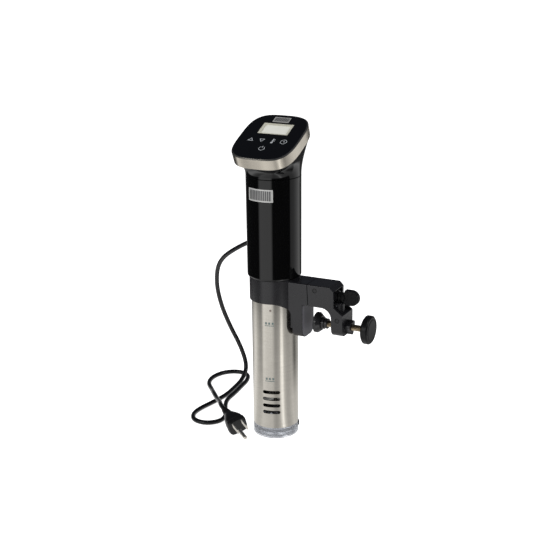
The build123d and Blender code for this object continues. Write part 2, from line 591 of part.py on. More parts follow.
with BuildPart() as panel_icons:
    icon_x = [ICON_PITCH * step for step in (-1.5, -0.5, 0.5, 1.5)]
    with BuildSketch(PANEL.offset(-GLASS_SINK)):
        for place, turn in ((icon_x[0], 0), (icon_x[1], 180)):
            with Locations(Location((place, ICON_ROW), turn)):
                Polygon((-3.6, -2.6), (3.6, -2.6), (0, 3.4), align=None)
                Polygon((-2.3, -1.9), (2.3, -1.9), (0, 2.0), align=None, mode=Mode.SUBTRACT)
        with Locations((icon_x[2], ICON_ROW)):
            with Locations((0, 1.2)):
                SlotOverall(6.6, 1.3, rotation=90)
            with Locations((0, -3.2)):
                Circle(1.5)
            with Locations((1.9, 3.2), (1.9, 1.6), (1.9, 0.0)):
                Rectangle(1.3, 0.45)
        with Locations((icon_x[3], ICON_ROW)):
            Circle(4.2)
            Circle(4.2 - ICON_LINE, mode=Mode.SUBTRACT)
            Polygon((-0.3, 2.6), (0.3, 2.6), (0.3, 0.3), (2.0, 0.3), (2.0, -0.3),
                    (-0.3, -0.3), align=None)
        with Locations((0, POWER_ROW)):
            Circle(3.8)
            Circle(3.8 - ICON_LINE, mode=Mode.SUBTRACT)
            with Locations((0, 3.6)):
                Rectangle(3.0, 3.6, mode=Mode.SUBTRACT)
            with Locations((0, 3.0)):
                Rectangle(ICON_LINE, 3.8)
    extrude(amount=0.15)

neck_tilts = (0.0, 0.35, 0.7, 1.0)
neck_top = PANEL.offset(-BEZEL_DEEP - 0.1)
neck_top_y, neck_top_z = neck_top.origin.Y, neck_top.origin.Z
hinge_y = neck_top_y - (neck_top_z - NECK_START) / math.tan(PANEL_TILT_RAD)


def neck_sections(wall):
    """Outlines from the round housing to the tilted rounded-square bezel, less a wall."""
    faces = []
    near, far = -hinge_y, (neck_top_y - hinge_y) / math.cos(PANEL_TILT_RAD)
    for step in neck_tilts:
        ease = step ** 2
        tilt = PANEL_TILT_RAD * step
        reach = near + (far - near) * ease
        middle = (0, hinge_y + reach * math.cos(tilt), NECK_START + reach * math.sin(tilt))
        plane = Plane(origin=middle, x_dir=X_AXIS, z_dir=(0, -math.sin(tilt), math.cos(tilt)))
        half_wide = HOUSING_R_TOP + (bezel_low_wide - 0.6 - HOUSING_R_TOP) * ease - wall
        half_long = HOUSING_R_TOP + (bezel_low_long - 0.6 - HOUSING_R_TOP) * ease - wall
        power = 2 + (OUTLINE_POWER - 2) * ease
        faces.append(squircle(plane, half_wide, half_long, power))
    return faces


with BuildPart() as head_shell:
    loft(neck_sections(0))
    loft(neck_sections(NECK_WALL), mode=Mode.SUBTRACT)
    spigot_r = HOUSING_R_TOP - HOUSING_WALL - 0.1
    tube(NECK_START - 0.2, NECK_START + NECK_LEDGE, HOUSING_R_TOP - 0.6, spigot_r - NECK_WALL)
    tube(HOUSING_TOP - NECK_SPIGOT, NECK_START, spigot_r, spigot_r - NECK_WALL)

# ---------------------------------------------------------------- clamp: collar, bracket, jaw

with BuildPart() as clamp_collar:
    tube(JAW_LOW, COLLAR_TOP, COLLAR_R)
    with BuildSketch(Plane.XZ):
        Polygon(
            (20, BRACKET_TOP), (SEAM_TOP_X, BRACKET_TOP), (SEAM_LOW_X, ARM_UNDER),
            (JAW_X, ARM_UNDER), (JAW_X, JAW_LOW), (20, JAW_LOW), align=None,
        )
    extrude(amount=CLAMP_WIDE / 2, both=True)
    with BuildSketch(Plane.XZ):
        with BuildLine():
            Polyline((-50, 100), (-50, COLLAR_LOW), (10, COLLAR_LOW))
            Spline((10, COLLAR_LOW), (20.5, 175.9), (27.2, 169.6), (30.8, 163.0),
                   (JAW_BACK_X, 156.0), tangents=((1, 0), (0, -1)))
            Polyline((JAW_BACK_X, 156.0), (JAW_BACK_X, 100), (-50, 100))
        make_face()
    extrude(amount=50, both=True, mode=Mode.SUBTRACT)
    jaw_edges = clamp_collar.edges().filter_by(Axis.X).group_by(Axis.Z)[0]
    fillet(jaw_edges, JAW_ROUND)
    top_edges = clamp_collar.edges().filter_by(Axis.X).group_by(Axis.Z)[-1]
    fillet(top_edges, TOP_ROUND)
    block(20, WEB_X, -WEB_HALF, WEB_HALF, WEB_LOW, ARM_UNDER)
    tube(JAW_LOW - 1, TUBE_TOP + GAP, COLLAR_BORE, mode=Mode.SUBTRACT)
    tube(TUBE_TOP, COLLAR_TOP, SPIGOT_R + 0.5, mode=Mode.SUBTRACT)
    block(TONGUE_START_X, SEAM_LOW_X, -TONGUE_HALF, TONGUE_HALF, TONGUE_LOW, TONGUE_TOP,
          mode=Mode.SUBTRACT)
    with BuildSketch(Plane.XY.offset(COLLAR_TOP)):
        with PolarLocations(SCREW_RING_R, 3):
            Circle(1.5)
    extrude(amount=-3.0, mode=Mode.SUBTRACT)
    with BuildSketch(facing(-37).offset(COLLAR_R - 0.4)):
        with Locations((0, (COLLAR_LOW + COLLAR_TOP) / 2)):
            Rectangle(0.7, COLLAR_TOP - COLLAR_LOW)
    extrude(amount=2.0, mode=Mode.SUBTRACT)

with BuildPart() as jaw_pad:
    inset = 0.9
    with BuildSketch(Plane.YZ.offset(JAW_X)):
        with BuildLine():
            half = CLAMP_WIDE / 2 - inset
            low = JAW_LOW + inset
            turn_r = JAW_ROUND - inset
            Polyline((-half, low + turn_r), (-half, ARM_UNDER - inset), (half, ARM_UNDER - inset),
                     (half, low + turn_r))
            RadiusArc((half, low + turn_r), (half - turn_r, low), turn_r)
            Line((half - turn_r, low), (-half + turn_r, low))
            RadiusArc((-half + turn_r, low), (-half, low + turn_r), turn_r)
        make_face()
    extrude(amount=PAD_SHEET)

with BuildPart() as bracket_tongue:
    block(TONGUE_START_X + 0.1, TONGUE_END_X, -TONGUE_HALF + 0.1, TONGUE_HALF - 0.1,
          TONGUE_LOW + 0.1, TONGUE_TOP - 0.1)
    rod_along_x(TONGUE_START_X + 3, TONGUE_END_X, WING_R + SNUG, WING_Z, mode=Mode.SUBTRACT)
    with BuildSketch(Plane.XZ):
        slot_long = ARM_TRAVEL + 2 * (PIN_R + GAP)
        with Locations((PIN_PLACES[0][0] + ARM_TRAVEL / 2, PIN_PLACES[0][1])):
            SlotOverall(slot_long, 2 * (PIN_R + GAP))
    extrude(amount=TONGUE_HALF, both=True, mode=Mode.SUBTRACT)

# ---------------------------------------------------------------- clamp arm

with BuildPart() as clamp_arm:
    with BuildSketch(Plane.XZ) as side_view:
        with BuildLine():
            Polyline(
                (ARCH_X, ARM_UNDER), (SEAM_LOW_X + SEAM_GAP, ARM_UNDER),
                (SEAM_TOP_X + SEAM_GAP, BRACKET_TOP), (ARM_CHAMFER_X, BRACKET_TOP),
                (ARM_END_X, ARM_CHAMFER_Z), (ARM_END_X, ARM_STEP_Z),
                (LEG_OUT_X, LEG_TOP), (LEG_OUT_X, LEG_LOW), (LEG_IN_X, LEG_LOW),
                (LEG_IN_X, ARM_UNDER - ARCH_R),
            )
            RadiusArc((LEG_IN_X, ARM_UNDER - ARCH_R), (ARCH_X, ARM_UNDER), -ARCH_R)
        make_face()
        for corner_x in (LEG_IN_X, LEG_OUT_X):
            fillet(side_view.vertices().sort_by_distance((corner_x, LEG_LOW))[0], 2.0)
    extrude(amount=CLAMP_WIDE / 2, both=True)
    with BuildSketch(Plane.YZ.offset(SEAM_TOP_X)) as end_view:
        with Locations((0, (LEG_LOW + BRACKET_TOP) / 2)):
            Rectangle(CLAMP_WIDE, BRACKET_TOP - LEG_LOW)
        fillet(end_view.vertices().group_by(Axis.Y)[0], LEG_ROUND)
        fillet(end_view.vertices().group_by(Axis.Y)[-1], TOP_ROUND)
    extrude(amount=LEG_OUT_X - SEAM_TOP_X, mode=Mode.INTERSECT)
    block(POCKET_X, LEG_OUT_X + 1, -POCKET_HALF, POCKET_HALF, LEG_TOP, POCKET_TOP, Mode.SUBTRACT)
    tube(BOSS_LOW, BOSS_TOP, BOSS_R, centre=(BOSS_X, 0))
    boss_rim = (BOSS_X + BOSS_R, 0, BOSS_TOP)
    fillet(clamp_arm.edges().filter_by(GeomType.CIRCLE).sort_by_distance(boss_rim)[0], 1.6)
    rod_along_x(POCKET_X, ARM_END_X, WING_BOSS_R, WING_Z)
    block(SEAM_TOP_X, TONGUE_END_X + GAP, -TONGUE_HALF - GAP, TONGUE_HALF + GAP,
          TONGUE_LOW - GAP, TONGUE_TOP + GAP, mode=Mode.SUBTRACT)
    rod_along_x(TONGUE_END_X, ARM_END_X + BOSS_R, WING_R + 0.5, WING_Z, mode=Mode.SUBTRACT)
    rod_along_x(LEG_IN_X - 1, LEG_OUT_X, NUT_BODY_R + 0.05, SCREW_Z, mode=Mode.SUBTRACT)
    with BuildSketch(Plane.XZ):
        with Locations(*PIN_PLACES):
            Circle(PIN_R)
    extrude(amount=CLAMP_WIDE, both=True, mode=Mode.SUBTRACT)
    for face_y in (-CLAMP_WIDE / 2 + PIN_SINK, CLAMP_WIDE / 2):
        with BuildSketch(Plane.XZ.offset(-face_y)) as pin_rims:
            with Locations(*PIN_PLACES):
                Circle(PIN_R + 0.45)
        extrude(pin_rims.sketch, amount=PIN_SINK, mode=Mode.SUBTRACT)
    with BuildSketch(Plane.XZ.offset(BOSS_R + 1)):
        with Locations(*GRUB_PLACES):
            Circle(GRUB_R + 0.02)
    extrude(amount=-GRUB_LONG - 1, mode=Mode.SUBTRACT)

with BuildPart() as arm_pins:
    with BuildSketch(Plane.XZ):
        with Locations(*PIN_PLACES):
            Circle(PIN_R - 0.02)
    extrude(amount=CLAMP_WIDE / 2 - 0.15, both=True)

with BuildPart() as arm_screws:
    with BuildSketch(Plane.XZ.offset(BOSS_R - 0.1)):
        with Locations(*GRUB_PLACES):
            Circle(GRUB_R)
    extrude(amount=-GRUB_LONG + 0.2)
    with BuildSketch(Plane.XZ.offset(BOSS_R - 0.1)):
        with Locations(*GRUB_PLACES):
            RegularPolygon(GRUB_R - 0.5, 6)
    extrude(amount=-1.2, mode=Mode.SUBTRACT)

with BuildPart() as screw_nut:
    rod_along_x(LEG_IN_X + 1, NUT_X, NUT_BODY_R, SCREW_Z)
    with BuildSketch(Plane.YZ.offset(NUT_X)):
        with Locations((0, SCREW_Z)):
            Circle(NUT_LOBE_RING)
            with PolarLocations(NUT_LOBE_RING, 3, start_angle=40):
                Circle(NUT_LOBE_R)
    extrude(amount=NUT_END_X - NUT_X)
    rod_along_x(LEG_IN_X, NUT_END_X, SCREW_R + SNUG, SCREW_Z, mode=Mode.SUBTRACT)

# ---------------------------------------------------------------- clamp screw, pad and knob

screw_axis = Axis((0, 0, SCREW_Z), (1, 0, 0))
foot_x = PAD_X + PAD_SKIN
foot_end = foot_x + 12.4


def screw_points(*pairs):
    """Points of a turned profile from distances along the screw and radii."""
    return [(x, SCREW_Z + radius) for x, radius in pairs]


with BuildPart() as pad_face:
    turned(screw_points((PAD_X, 0), (PAD_X, PAD_R - 0.8), (PAD_X + 0.6, PAD_R), (foot_x, PAD_R),
                        (foot_x, 0)), screw_axis)

with BuildPart() as pad_foot:
    bore_r = SCREW_R + SNUG
    turned(screw_points(
        (foot_x, 0), (foot_x, PAD_R), (foot_x + 2.0, PAD_R), (foot_x + 6.4, 9.2),
        (foot_x + 6.6, 7.2), (foot_x + 9.8, 7.2), (foot_x + 10.2, 5.8), (foot_end, 5.8),
        (foot_end, bore_r), (foot_x + 4.0, bore_r), (foot_x + 4.0, 0)), screw_axis)

with BuildPart() as pad_retainer:
    turned(screw_points((foot_end, bore_r), (foot_end, 6.4), (foot_end + 1.6, 6.4),
                        (foot_end + 1.6, bore_r)), screw_axis)

with BuildPart() as clamp_screw:
    rod_along_x(SCREW_START_X, SCREW_END_X, SCREW_R, SCREW_Z)
    chamfer(clamp_screw.edges().filter_by(GeomType.CIRCLE), 0.6)

with BuildPart() as clamp_knob:
    turned(screw_points(
        (KNOB_X, SCREW_R), (KNOB_X, KNOB_R - 3.0), (KNOB_X + 1.6, KNOB_R - 0.6),
        (KNOB_X + 2.6, KNOB_R), (KNOB_END_X - 1.6, KNOB_R), (KNOB_END_X, KNOB_R - 1.8),
        (KNOB_END_X, KNOB_CAP_R + 0.1), (KNOB_END_X - 1.2, KNOB_CAP_R + 0.1),
        (KNOB_END_X - 1.2, 0), (SCREW_END_X, 0), (SCREW_END_X, SCREW_R)), screw_axis)

with BuildPart() as knob_cap:
    turned(screw_points((KNOB_END_X - 1.2, 0), (KNOB_END_X - 1.2, KNOB_CAP_R),
                        (KNOB_END_X - 0.3, KNOB_CAP_R), (KNOB_END_X + 0.4, KNOB_CAP_R - 1.4),
                        (KNOB_END_X + 0.4, 0)), screw_axis)

# ---------------------------------------------------------------- wing screw

wing_axis = Axis((0, 0, WING_Z), (1, 0, 0))

with BuildPart() as wing_screw:
    rod_along_x(WING_START_X, WING_HUB_X + 4.0, WING_R, WING_Z)
    chamfer(wing_screw.edges().filter_by(GeomType.CIRCLE), 0.5)

with BuildPart() as wing_washer:
    rod_along_x(ARM_END_X + 0.1, WING_COLLAR_X, 6.6, WING_Z)
    rod_along_x(ARM_END_X, WING_COLLAR_X, WING_R + SNUG, WING_Z, mode=Mode.SUBTRACT)

with BuildPart() as wing_knob:
    with BuildSketch(Plane.XZ):
        with BuildLine():
            tip_x = WING_END_X - WING_HALF_HIGH
            low, high = WING_Z - WING_HALF_HIGH, WING_Z + WING_HALF_HIGH
            Polyline((tip_x, high), (WING_HUB_X + 4.5, high), (WING_HUB_X + 2.5, WING_Z + 5.4),
                     (WING_HUB_X + 2.5, WING_Z - 5.4), (WING_HUB_X + 4.5, low), (tip_x, low))
            RadiusArc((tip_x, low), (tip_x, high), -WING_HALF_HIGH)
        make_face()
    extrude(amount=WING_THICK / 2, both=True)
    fillet(wing_knob.edges().filter_by(GeomType.CIRCLE), 1.2)
    rod_along_x(WING_COLLAR_X, WING_HUB_X, 5.6, WING_Z)
    rod_along_x(WING_HUB_X, WING_HUB_X + 4.5, 5.0, WING_Z)
    rod_along_x(WING_COLLAR_X, WING_HUB_X + 4.0, WING_R, WING_Z, mode=Mode.SUBTRACT)

# ---------------------------------------------------------------- cord and plug

cord_radii = bend_radii(CORD_ROUTE)

with BuildPart() as power_cord:
    with BuildLine() as cord_path:
        FilletPolyline(*CORD_ROUTE, radius=cord_radii)
    with BuildSketch(Plane(origin=cord_path.line @ 0, z_dir=cord_path.line % 0)):
        Circle(CORD_R)
    sweep(path=cord_path.line)


def along_plug(distance):
    """Plane across the plug's axis, at a distance behind its face."""
    return Plane(origin=PLUG_FACE - PLUG_DIR * distance, x_dir=PLUG_ACROSS, z_dir=PLUG_DIR)


plug_sections = [
    squircle(along_plug(distance), half_wide, half_high, power)
    for distance, half_wide, half_high, power in (
        (0, 11.8, 10.2, 4.5), (5, 12.6, 10.7, 4.0), (14, 12.0, 10.4, 3.2),
        (22, 9.6, 8.8, 2.5), (PLUG_LONG, 6.4, 6.4, 2.0), (PLUG_LONG + PLUG_TAIL, 3.9, 3.9, 2.0),
    )
]
with BuildPart() as plug_body:
    loft(plug_sections)

with BuildPart() as plug_blades:
    with BuildSketch(along_plug(0)) as blade_sketch:
        with Locations((-BLADE_PITCH / 2, BLADE_UP), (BLADE_PITCH / 2, BLADE_UP)):
            Rectangle(BLADE_THICK, BLADE_WIDE)
    extrude(amount=BLADE_LONG)
    tips = plug_blades.faces().sort_by_distance(PLUG_FACE + PLUG_DIR * 2 * BLADE_LONG)[0:2]
    chamfer(tips.edges(), 0.4)

with BuildPart() as ground_pin:
    with BuildSketch(along_plug(0)):
        with Locations((0, -PIN_DOWN)):
            Circle(GROUND_R)
    extrude(amount=GROUND_LONG)
    fillet(ground_pin.edges().sort_by_distance(PLUG_FACE + PLUG_DIR * 2 * GROUND_LONG)[0], 1.8)

# ---------------------------------------------------------------- output

pieces = {
    "skirt_tube": skirt_tube, "skirt_rivet": skirt_rivet, "skirt_ring": skirt_ring,
    "foot_ring": foot_ring,
    "level_marks": level_marks, "base_cap": base_cap, "cap_tab": cap_tab,
    "lower_bulkhead": lower_bulkhead, "shaft_seal": shaft_seal, "shaft_sleeve": shaft_sleeve,
    "shaft_bush": shaft_bush, "heater_tubes": heater_tubes,
    "heater_terminals": heater_terminals, "temperature_probe": temperature_probe,
    "level_rods": level_rods, "probe_seals": probe_seals, "impeller_shaft": impeller_shaft,
    "impeller": impeller, "motor_shaft": motor_shaft, "shaft_coupler": shaft_coupler,
    "cooling_fan": cooling_fan, "motor_mount": motor_mount, "motor_can": motor_can,
    "motor_screws": motor_screws, "housing_shell": housing_shell,
    "housing_badge": housing_badge, "power_board": power_board, "board_parts": board_parts,
    "collar_screws": collar_screws, "cord_gland": cord_gland, "bezel": bezel,
    "panel_glass": panel_glass, "lcd_frame": lcd_frame, "lcd_screen": lcd_screen,
    "touch_sensor": touch_sensor, "control_board": control_board, "head_screws": head_screws,
    "panel_badge": panel_badge, "panel_icons": panel_icons, "head_shell": head_shell,
    "clamp_collar": clamp_collar, "jaw_pad": jaw_pad, "bracket_tongue": bracket_tongue,
    "clamp_arm": clamp_arm, "arm_pins": arm_pins, "arm_screws": arm_screws,
    "screw_nut": screw_nut, "pad_face": pad_face, "pad_foot": pad_foot,
    "pad_retainer": pad_retainer, "clamp_screw": clamp_screw, "clamp_knob": clamp_knob,
    "knob_cap": knob_cap, "wing_screw": wing_screw, "wing_washer": wing_washer,
    "wing_knob": wing_knob, "power_cord": power_cord, "plug_body": plug_body,
    "plug_blades": plug_blades, "ground_pin": ground_pin,
}

os.makedirs("parts", exist_ok=True)
for label, piece in pieces.items():
    piece.part.label = label
    export_step(piece.part, f"parts/{label}.step")

cord_length = sum(edge.length for edge in cord_path.line.edges())
cord_volume = math.pi * CORD_R ** 2 * cord_length
print("cord radii", [round(radius, 1) for radius in cord_radii])
print("cord length", round(cord_length, 1))
print("cord volume over section times length", round(power_cord.part.volume / cord_volume, 4))
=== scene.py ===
import bpy
import bmesh
import json
import math
from mathutils import Matrix, Vector


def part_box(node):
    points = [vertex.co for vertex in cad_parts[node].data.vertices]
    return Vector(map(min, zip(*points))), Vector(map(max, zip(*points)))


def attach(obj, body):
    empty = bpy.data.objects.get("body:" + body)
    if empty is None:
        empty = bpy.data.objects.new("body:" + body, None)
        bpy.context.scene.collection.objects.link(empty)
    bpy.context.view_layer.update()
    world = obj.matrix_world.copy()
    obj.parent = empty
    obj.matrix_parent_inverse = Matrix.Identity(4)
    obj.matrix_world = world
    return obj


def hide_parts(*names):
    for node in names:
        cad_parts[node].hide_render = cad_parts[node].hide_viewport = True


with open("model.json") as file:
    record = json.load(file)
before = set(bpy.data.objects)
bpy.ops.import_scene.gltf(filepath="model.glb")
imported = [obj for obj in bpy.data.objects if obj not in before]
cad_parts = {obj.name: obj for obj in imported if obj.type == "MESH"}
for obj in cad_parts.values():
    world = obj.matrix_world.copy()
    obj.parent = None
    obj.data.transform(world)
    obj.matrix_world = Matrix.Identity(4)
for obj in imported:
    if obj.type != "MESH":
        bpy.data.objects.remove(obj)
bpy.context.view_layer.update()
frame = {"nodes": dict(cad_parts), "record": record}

scene = bpy.context.scene
nodes = frame["nodes"]

# ---------------------------------------------------------------- camera

CAMERA_AZIMUTH, CAMERA_DOWN, CAMERA_ROLL = 26.28, 17.72, -0.54
CAMERA_PLACE = Vector((0.6441, -1.2922, 0.66318))
LENS = 79.6


def aim_camera():
    data = bpy.data.cameras.new("camera")
    camera = bpy.data.objects.new("camera", data)
    scene.collection.objects.link(camera)
    a, t = math.radians(CAMERA_AZIMUTH), math.radians(CAMERA_DOWN)
    r = math.radians(CAMERA_ROLL)
    forward = Vector((-math.sin(a) * math.cos(t), math.cos(a) * math.cos(t), -math.sin(t)))
    level = Vector((math.cos(a), math.sin(a), 0))
    upright = level.cross(forward)
    right = math.cos(r) * level + math.sin(r) * upright
    up = -math.sin(r) * level + math.cos(r) * upright
    camera.matrix_world = Matrix((
        (right.x, up.x, -forward.x, CAMERA_PLACE.x),
        (right.y, up.y, -forward.y, CAMERA_PLACE.y),
        (right.z, up.z, -forward.z, CAMERA_PLACE.z),
        (0, 0, 0, 1),
    ))
    data.lens = LENS
    data.sensor_width = 36.0
    data.clip_start, data.clip_end = 0.05, 60.0
    scene.camera = camera


aim_camera()
scene.view_settings.view_transform = "Standard"

# ---------------------------------------------------------------- materials


class Surface:
    """A procedural material: a Principled shader and the nodes that vary it over the surface."""

    def __init__(self, name, color, roughness, **sockets):
        self.mat = bpy.data.materials.new(name)
        self.mat.use_nodes = True
        self.tree = self.mat.node_tree
        self.bsdf = self.tree.nodes["Principled BSDF"]
        self.bsdf.inputs["Base Color"].default_value = (*color, 1)
        self.bsdf.inputs["Roughness"].default_value = roughness
        for socket, value in sockets.items():
            self.bsdf.inputs[socket.replace("_", " ")].default_value = value
        self.normal = None

    def node(self, kind, **settings):
        made = self.tree.nodes.new(kind)
        for key, value in settings.items():
            setattr(made, key, value)
        return made

    def link(self, out, into):
        self.tree.links.new(out, into)

    def place(self, scale=(1, 1, 1)):
        """Object coordinates, in metres, scaled along each axis."""
        coords = self.node("ShaderNodeTexCoord")
        mapping = self.node("ShaderNodeMapping")
        mapping.inputs["Scale"].default_value = scale
        self.link(coords.outputs["Object"], mapping.inputs["Vector"])
        return mapping.outputs["Vector"]

    def tilted(self, degrees, scale):
        """Object coordinates leaned forward by an angle, then scaled along each axis."""
        coords = self.node("ShaderNodeTexCoord")
        mapping = self.node("ShaderNodeMapping", vector_type="TEXTURE")
        mapping.inputs["Rotation"].default_value = (math.radians(degrees), 0, 0)
        mapping.inputs["Scale"].default_value = [1 / s for s in scale]
        self.link(coords.outputs["Object"], mapping.inputs["Vector"])
        return mapping.outputs["Vector"]

    def around(self, turns=1.0, rise=1.0):
        """Coordinates that run round the upright axis and along it."""
        coords = self.node("ShaderNodeTexCoord")
        split = self.node("ShaderNodeSeparateXYZ")
        angle = self.node("ShaderNodeMath", operation="ARCTAN2")
        turn = self.node("ShaderNodeMath", operation="MULTIPLY")
        lift = self.node("ShaderNodeMath", operation="MULTIPLY")
        join = self.node("ShaderNodeCombineXYZ")
        self.link(coords.outputs["Object"], split.inputs[0])
        self.link(split.outputs["Y"], angle.inputs[0])
        self.link(split.outputs["X"], angle.inputs[1])
        self.link(angle.outputs[0], turn.inputs[0])
        self.link(split.outputs["Z"], lift.inputs[0])
        turn.inputs[1].default_value = turns
        lift.inputs[1].default_value = rise
        self.link(turn.outputs[0], join.inputs["X"])
        self.link(lift.outputs[0], join.inputs["Z"])
        return join.outputs[0]

    def noise(self, vector, scale, detail=4.0, roughness=0.55):
        made = self.node("ShaderNodeTexNoise")
        made.inputs["Scale"].default_value = scale
        made.inputs["Detail"].default_value = detail
        made.inputs["Roughness"].default_value = roughness
        self.link(vector, made.inputs["Vector"])
        return made.outputs["Fac"]

    def spread(self, value, low, high, start=0.25, end=0.75):
        made = self.node("ShaderNodeMapRange")
        made.inputs["From Min"].default_value = start
        made.inputs["From Max"].default_value = end
        made.inputs["To Min"].default_value = low
        made.inputs["To Max"].default_value = high
        self.link(value, made.inputs["Value"])
        return made.outputs["Result"]

    def shade(self, value, dark, light, start=0.3, end=0.7):
        ramp = self.node("ShaderNodeValToRGB")
        ramp.color_ramp.elements[0].position = start
        ramp.color_ramp.elements[1].position = end
        ramp.color_ramp.elements[0].color = (*dark, 1)
        ramp.color_ramp.elements[1].color = (*light, 1)
        self.link(value, ramp.inputs["Fac"])
        self.link(ramp.outputs["Color"], self.bsdf.inputs["Base Color"])

    def rough(self, value, low, high):
        self.link(self.spread(value, low, high), self.bsdf.inputs["Roughness"])

    def bump(self, value, depth, strength=1.0):
        """Adds a layer of relief, its depth in metres."""
        made = self.node("ShaderNodeBump")
        made.inputs["Distance"].default_value = depth
        made.inputs["Strength"].default_value = strength
        self.link(value, made.inputs["Height"])
        if self.normal is not None:
            self.link(self.normal, made.inputs["Normal"])
        self.normal = made.outputs["Normal"]
        self.link(self.normal, self.bsdf.inputs["Normal"])


def tint(color, factor):
    return tuple(min(1.0, c * factor) for c in color)


def moulded(name, color, roughness, grain=0.00002, size=2600, sheen=0.14, **sockets):
    """Satin moulded plastic: a fine spark-eroded grain and slow changes of gloss."""
    s = Surface(name, color, roughness, **sockets)
    fine = s.noise(s.place(), size, 5.0, 0.6)
    slow = s.noise(s.place(), 34.0, 3.0)
    s.shade(slow, tint(color, 0.88), tint(color, 1.14))
    s.rough(slow, roughness - sheen / 2, roughness + sheen / 2)
    s.bump(fine, grain, 0.5)
    return s.mat


def polished(name, color, roughness):
    """Polished moulding: faint moulding ripple and dust-fine haze."""
    s = Surface(name, color, roughness)
    haze = s.noise(s.place((1, 1, 0.35)), 55.0, 6.0, 0.65)
    ripple = s.noise(s.place((1, 1, 0.5)), 18.0, 1.0)
    s.shade(haze, tint(color, 0.85), tint(color, 1.2))
    s.rough(haze, roughness * 0.6, roughness * 1.7)
    s.bump(ripple, 0.00005, 0.25)
    return s.mat


def metal(name, color, roughness, stretch=(1, 1, 1), lines=900.0, depth=0.000012, spread=0.1,
          contrast=0.10, anisotropy=0.0, lean=0.0):
    """Worked metal with lines drawn out along the axis whose stretch is smallest.

    The axes may lean forward by an angle, for a piece that is tilted.
    """
    s = Surface(name, color, roughness, Metallic=1.0, Anisotropic=anisotropy)
    drawn = s.noise(s.tilted(lean, stretch), lines, 3.0, 0.7)
    slow = s.noise(s.place(), 22.0, 3.0)
    s.shade(drawn, tint(color, 1 - contrast), tint(color, 1 + contrast))
    s.rough(slow, roughness - spread / 2, roughness + spread / 2)
    s.bump(drawn, depth, 0.6)
    return s.mat


def brushed_round(name, color, roughness):
    """A tube brushed round its axis: hair-fine rings that blur the light up and down."""
    s = Surface(name, color, roughness, Metallic=1.0, Anisotropic=0.6, Anisotropic_Rotation=0.25)
    tangent = s.node("ShaderNodeTangent", direction_type="RADIAL", axis="Z")
    s.link(tangent.outputs[0], s.bsdf.inputs["Tangent"])
    hair = s.noise(s.around(5.0, 5200.0), 1.0, 2.0, 0.6)
    bands = s.noise(s.around(1.4, 420.0), 1.0, 3.0, 0.6)
    smear = s.noise(s.around(0.8, 26.0), 1.0, 4.0, 0.5)
    mix = s.node("ShaderNodeMath", operation="ADD")
    half = s.node("ShaderNodeMath", operation="MULTIPLY")
    half.inputs[1].default_value = 0.5
    s.link(hair, mix.inputs[0])
    s.link(bands, mix.inputs[1])
    s.link(mix.outputs[0], half.inputs[0])
    s.shade(half.outputs[0], tint(color, 0.95), tint(color, 1.05), 0.38, 0.62)
    s.rough(smear, roughness - 0.03, roughness + 0.03)
    s.bump(hair, 0.0000018, 0.5)
    return s.mat


def rubber(name, color, roughness=0.55, grain=0.00004, size=1800, specular=0.35):
    """Matt rubber: a fine grain and slow changes of tone."""
    s = Surface(name, color, roughness, Specular_IOR_Level=specular)
    fine = s.noise(s.place(), size, 4.0, 0.6)
    slow = s.noise(s.place(), 40.0, 4.0)
    s.shade(slow, tint(color, 0.85), tint(color, 1.2))
    s.rough(slow, roughness - 0.06, roughness + 0.06)
    s.bump(fine, grain, 0.5)
    return s.mat


def ribbed_grip(name, color, roughness, pitch):
    """Dark moulded grip: soft upright ridges over a fine grain.

    The wave texture repeats every tenth of pi over its scale, which gives the pitch in metres.
    """
    s = Surface(name, color, roughness, Specular_IOR_Level=0.25)
    wave = s.node("ShaderNodeTexWave", wave_type="BANDS", bands_direction="X")
    wave.inputs["Scale"].default_value = math.pi / 10 / pitch
    s.link(s.place(), wave.inputs["Vector"])
    # grooves painted darker and crests lighter: painted shade and highlight that follow the
    # ridges' relief
    s.shade(wave.outputs["Fac"], tint(color, 0.4), tint(color, 1.5), 0.2, 0.8)
    s.rough(s.noise(s.place(), 60.0), roughness - 0.05, roughness + 0.05)
    s.bump(wave.outputs["Fac"], 0.0004, 0.8)
    s.bump(s.noise(s.place(), 2200.0, 4.0), 0.00003, 0.4)
    return s.mat


def clear_plastic(name, color, roughness):
    """Clear moulding, a little hazy, with faint rings from turning the mould."""
    s = Surface(name, color, roughness, IOR=1.49, Transmission_Weight=0.8)
    haze = s.noise(s.place(), 60.0, 4.0)
    s.shade(haze, tint(color, 0.94), tint(color, 1.04))
    s.rough(haze, roughness * 0.7, roughness * 1.4)
    s.bump(s.noise(s.around(3.0, 300.0), 1.0, 2.0), 0.00003, 0.3)
    return s.mat


